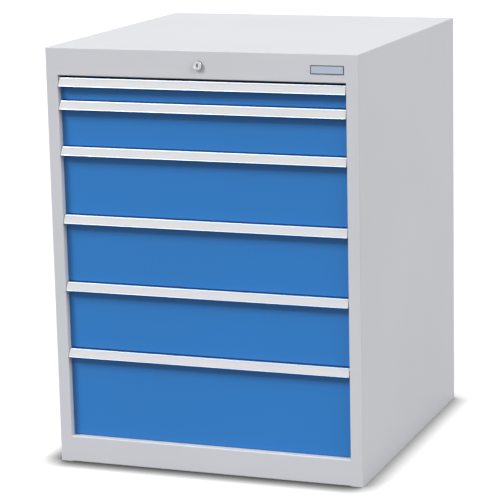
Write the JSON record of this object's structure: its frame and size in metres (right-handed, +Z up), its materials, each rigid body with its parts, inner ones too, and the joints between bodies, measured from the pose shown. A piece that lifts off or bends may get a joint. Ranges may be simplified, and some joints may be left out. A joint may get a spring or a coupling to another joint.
{
  "type": "drawer cabinet",
  "caption": "Floor-standing steel drawer cabinet for reagents: blue pull-out drawers of graded heights on roller runners, full-width handles, central lock.",
  "frame": {"origin": "centre of the housing's footprint, on the floor, at the floor_face mount", "axes": "+Z up, drawers open towards -Y, +X to the right seen from the front"},
  "size_m": [0.705, 0.7432, 0.9225],
  "materials": {
    "housing_paint": "satin light grey powder coat",
    "front_paint": "satin blue powder coat",
    "tray_paint": "satin light grey powder coat",
    "handle_aluminium": "fine brushed, clear anodised",
    "label_card": "matt off-white card under film",
    "zinc_steel": "zinc-plated",
    "carriage_steel": "zinc-plated bar with pale nylon rollers",
    "lock_chrome": "polished nickel",
    "lock_steel": "zinc-plated",
    "nameplate_aluminium": "satin plate with a dark border, blank"
  },
  "bodies": {
    "cabinet": {"side_left": "housing_paint", "side_right": "housing_paint", "top_panel": "housing_paint", "floor_pan": "housing_paint", "back_panel": "housing_paint", "back_rivets": "zinc_steel", "top_rail": "housing_paint", "bottom_rail": "housing_paint", "nameplate": "nameplate_aluminium", "upright_front_right": "zinc_steel", "upright_front_left": "zinc_steel", "upright_rear_right": "zinc_steel", "upright_rear_left": "zinc_steel", "carcass_runners_right": "zinc_steel", "carcass_runners_left": "zinc_steel", "lock_housing": "lock_chrome", "lock_nut": "lock_chrome", "lock_channel": "lock_steel", "lock_bar_guides": "lock_steel"},
    "drawer_1": {"drawer_1_tray": "tray_paint", "drawer_1_front": "front_paint", "drawer_1_handle": "handle_aluminium", "drawer_1_label_strip": "label_card", "drawer_1_runners": "zinc_steel"},
    "drawer_1_carriage": {"drawer_1_carriages": "carriage_steel"},
    "drawer_2": {"drawer_2_tray": "tray_paint", "drawer_2_front": "front_paint", "drawer_2_handle": "handle_aluminium", "drawer_2_label_strip": "label_card", "drawer_2_runners": "zinc_steel"},
    "drawer_2_carriage": {"drawer_2_carriages": "carriage_steel"},
    "drawer_3": {"drawer_3_tray": "tray_paint", "drawer_3_front": "front_paint", "drawer_3_handle": "handle_aluminium", "drawer_3_label_strip": "label_card", "drawer_3_runners": "zinc_steel"},
    "drawer_3_carriage": {"drawer_3_carriages": "carriage_steel"},
    "drawer_4": {"drawer_4_tray": "tray_paint", "drawer_4_front": "front_paint", "drawer_4_handle": "handle_aluminium", "drawer_4_label_strip": "label_card", "drawer_4_runners": "zinc_steel"},
    "drawer_4_carriage": {"drawer_4_carriages": "carriage_steel"},
    "drawer_5": {"drawer_5_tray": "tray_paint", "drawer_5_front": "front_paint", "drawer_5_handle": "handle_aluminium", "drawer_5_label_strip": "label_card", "drawer_5_runners": "zinc_steel"},
    "drawer_5_carriage": {"drawer_5_carriages": "carriage_steel"},
    "drawer_6": {"drawer_6_tray": "tray_paint", "drawer_6_front": "front_paint", "drawer_6_handle": "handle_aluminium", "drawer_6_label_strip": "label_card", "drawer_6_runners": "zinc_steel"},
    "drawer_6_carriage": {"drawer_6_carriages": "carriage_steel"},
    "lock_shaft": {"lock_plug": "lock_chrome", "lock_rod": "lock_steel", "lock_crank": "lock_steel"},
    "lock_lifter": {"lock_bar": "lock_steel"}
  },
  "joints": [
    {"name": "drawer_1_slide", "type": "slide", "parent": "cabinet", "child": "drawer_1", "axis": [0, -1, 0], "range_m": [0, 0.6]},
    {"name": "drawer_1_carriage_slide", "type": "slide", "parent": "cabinet", "child": "drawer_1_carriage", "axis": [0, -1, 0], "range_m": [0, 0.3]},
    {"name": "drawer_2_slide", "type": "slide", "parent": "cabinet", "child": "drawer_2", "axis": [0, -1, 0], "range_m": [0, 0.6]},
    {"name": "drawer_2_carriage_slide", "type": "slide", "parent": "cabinet", "child": "drawer_2_carriage", "axis": [0, -1, 0], "range_m": [0, 0.3]},
    {"name": "drawer_3_slide", "type": "slide", "parent": "cabinet", "child": "drawer_3", "axis": [0, -1, 0], "range_m": [0, 0.6]},
    {"name": "drawer_3_carriage_slide", "type": "slide", "parent": "cabinet", "child": "drawer_3_carriage", "axis": [0, -1, 0], "range_m": [0, 0.3]},
    {"name": "drawer_4_slide", "type": "slide", "parent": "cabinet", "child": "drawer_4", "axis": [0, -1, 0], "range_m": [0, 0.6]},
    {"name": "drawer_4_carriage_slide", "type": "slide", "parent": "cabinet", "child": "drawer_4_carriage", "axis": [0, -1, 0], "range_m": [0, 0.3]},
    {"name": "drawer_5_slide", "type": "slide", "parent": "cabinet", "child": "drawer_5", "axis": [0, -1, 0], "range_m": [0, 0.6]},
    {"name": "drawer_5_carriage_slide", "type": "slide", "parent": "cabinet", "child": "drawer_5_carriage", "axis": [0, -1, 0], "range_m": [0, 0.3]},
    {"name": "drawer_6_slide", "type": "slide", "parent": "cabinet", "child": "drawer_6", "axis": [0, -1, 0], "range_m": [0, 0.6]},
    {"name": "drawer_6_carriage_slide", "type": "slide", "parent": "cabinet", "child": "drawer_6_carriage", "axis": [0, -1, 0], "range_m": [0, 0.3]},
    {"name": "lock_bar_lift", "type": "slide", "parent": "cabinet", "child": "lock_lifter", "axis": [0, 0, 1], "range_m": [0, 0.01696]},
    {"name": "lock_turn", "type": "hinge", "parent": "cabinet", "child": "lock_shaft", "pos_m": [0, -0.368, 0.89275], "axis": [0, 1, 0], "range_deg": [0, 90]}
  ],
  "couplings": [
    {"joint": "drawer_1_carriage_slide", "follows": "drawer_1_slide", "ratio": 0.5},
    {"joint": "drawer_2_carriage_slide", "follows": "drawer_2_slide", "ratio": 0.5},
    {"joint": "drawer_3_carriage_slide", "follows": "drawer_3_slide", "ratio": 0.5},
    {"joint": "drawer_4_carriage_slide", "follows": "drawer_4_slide", "ratio": 0.5},
    {"joint": "drawer_5_carriage_slide", "follows": "drawer_5_slide", "ratio": 0.5},
    {"joint": "drawer_6_carriage_slide", "follows": "drawer_6_slide", "ratio": 0.5},
    {"joint": "lock_turn", "follows": "lock_bar_lift", "rad_per_m": 92.56}
  ]
}
